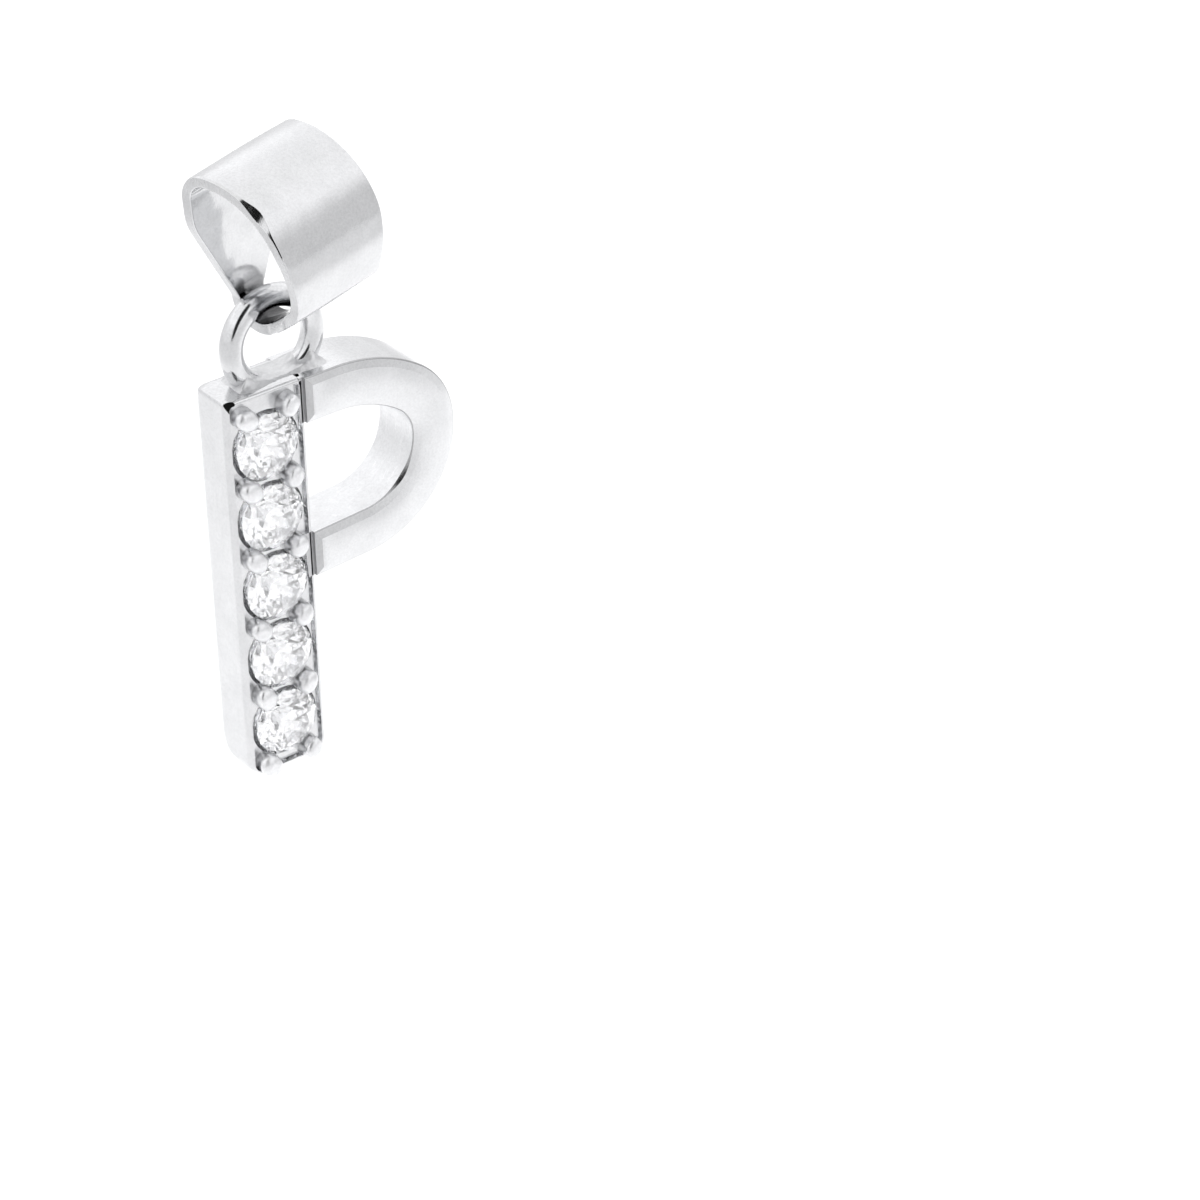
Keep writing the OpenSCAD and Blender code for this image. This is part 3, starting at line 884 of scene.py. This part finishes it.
def area_light(name, at, size, power):
    """A soft light on the pendant that isn't itself seen in the metal."""
    data = bpy.data.lights.new(name, "AREA")
    data.shape, data.size, data.energy = "DISK", size, power
    link_object(name, data, at, CENTRE).visible_glossy = False


def pool_light(name, at, target):
    """A soft pool of light on the floor behind the pendant."""
    data = bpy.data.lights.new(name, "SPOT")
    data.energy, data.spot_size, data.spot_blend, data.shadow_soft_size = 6.0, math.radians(21), 0.6, 0.02
    obj = link_object(name, data, at, target)
    obj.visible_glossy = obj.visible_transmission = False


def patch(nodes, links, direction, colour, towards, half_side, half_rise, value, soft):
    """An elliptical patch of another brightness in the surround, round a fixed direction. Its half sizes are
    angles, and its rim is soft from the share of them that soft gives to as much beyond them."""
    towards = Vector(towards).normalized()
    side = Vector((0, 0, 1)).cross(towards).normalized()
    rise = towards.cross(side)
    squares = []
    for axis, half_angle in ((side, half_side), (rise, half_rise)):
        share = part_along(nodes, links, direction, axis / math.sin(math.radians(half_angle)))
        squares.append(math_node(nodes, links, "MULTIPLY", share, share))
    reach = math_node(nodes, links, "ADD", *squares)
    behind = math_node(nodes, links, "LESS_THAN", part_along(nodes, links, direction, towards), 0.0)
    reach = math_node(nodes, links, "MULTIPLY_ADD", behind, 9.0, reach)
    outside = spread(nodes, links, reach, 0, 1, soft, 2.0 - soft, "SMOOTHSTEP")
    return mix_colour(nodes, links, (value, value, value * 1.01, 1), colour, outside)


def build_world():
    """A pale studio that is brightest a little above the pendant, with two fixed patches: a grey card to the
    right, and a dark column on the side that the pendant faces."""
    below, above = 0.8, 0.95
    bands = ((0.45, 0.88), (0.55, 0.88), (0.66, 0.95), (0.76, 1.16), (0.86, 1.06))
    grey_card = ((0.8, -0.58, 0.14), 42.0, 24.0, 0.68, 0.05)
    dark_column = ((-0.54, -0.71, 0.5), 13.0, 42.0, 0.01, 0.8)
    world = bpy.data.worlds.new("studio")
    bpy.context.scene.world = world
    world.use_nodes = True
    nodes, links = world.node_tree.nodes, world.node_tree.links
    direction = nodes.new("ShaderNodeTexCoord").outputs["Generated"]
    ramp = nodes.new("ShaderNodeValToRGB")
    ramp.color_ramp.interpolation = "EASE"
    stops = ramp.color_ramp.elements
    stops[0].position, stops[0].color = 0.0, (below, below, below * 1.0125, 1)
    stops[1].position, stops[1].color = 1.0, (above, above, above, 1)
    for position, value in bands:
        stops.new(position).color = (value, value, value * 1.01, 1)
    height = part_along(nodes, links, direction, (0, 0, 1))
    links.new(spread(nodes, links, height, 0, 1, -1, 1), ramp.inputs["Fac"])
    colour = ramp.outputs["Color"]
    for card in (grey_card, dark_column):
        colour = patch(nodes, links, direction, colour, *card)
    back = nodes["Background"]
    links.new(colour, back.inputs["Color"])
    back.inputs["Strength"].default_value = 1.08


# The camera was fitted to the letter's edges in the photo, which gave its place, the direction from which it
# looks, how far it is rolled, and its focal length in the photo's pixels.
PHOTO_PIXELS = 1200
FOCAL_PIXELS = 4421.73
SENSOR_MM = 36
CAMERA_AT = (-0.0569943, -0.0903966, 0.0530146)
CAMERA_AZIMUTH = -126.9933
CAMERA_ELEVATION = 32.229
CAMERA_ROLL = -1.3554


def build_camera():
    data = bpy.data.cameras.new("camera")
    data.sensor_width = SENSOR_MM
    data.lens = SENSOR_MM * FOCAL_PIXELS / PHOTO_PIXELS
    data.clip_start = 0.01
    obj = link_object("camera", data)
    turns = (("Z", CAMERA_AZIMUTH + 90), ("X", 90 - CAMERA_ELEVATION), ("Z", CAMERA_ROLL))
    placed = Matrix.Translation(CAMERA_AT)
    for axis, degrees in turns:
        placed = placed @ Matrix.Rotation(math.radians(degrees), 4, axis)
    obj.matrix_world = placed
    bpy.context.scene.camera = obj


build_floor()
build_world()
area_light("key", (-0.26, -0.06, 0.34), 0.22, 0.14)
area_light("fill", (0.30, -0.16, 0.22), 0.22, 0.08)
pool_light("pool", (0.25, 0.17, 0.45), (0.045, 0.03, FLOOR_Z))
area_light("rear", (0.05, 0.30, 0.30), 0.24, 0.1)
build_camera()
bpy.context.scene.view_settings.view_transform = "Standard"
cycles = bpy.context.scene.cycles
cycles.max_bounces, cycles.glossy_bounces, cycles.transmission_bounces = 24, 16, 20
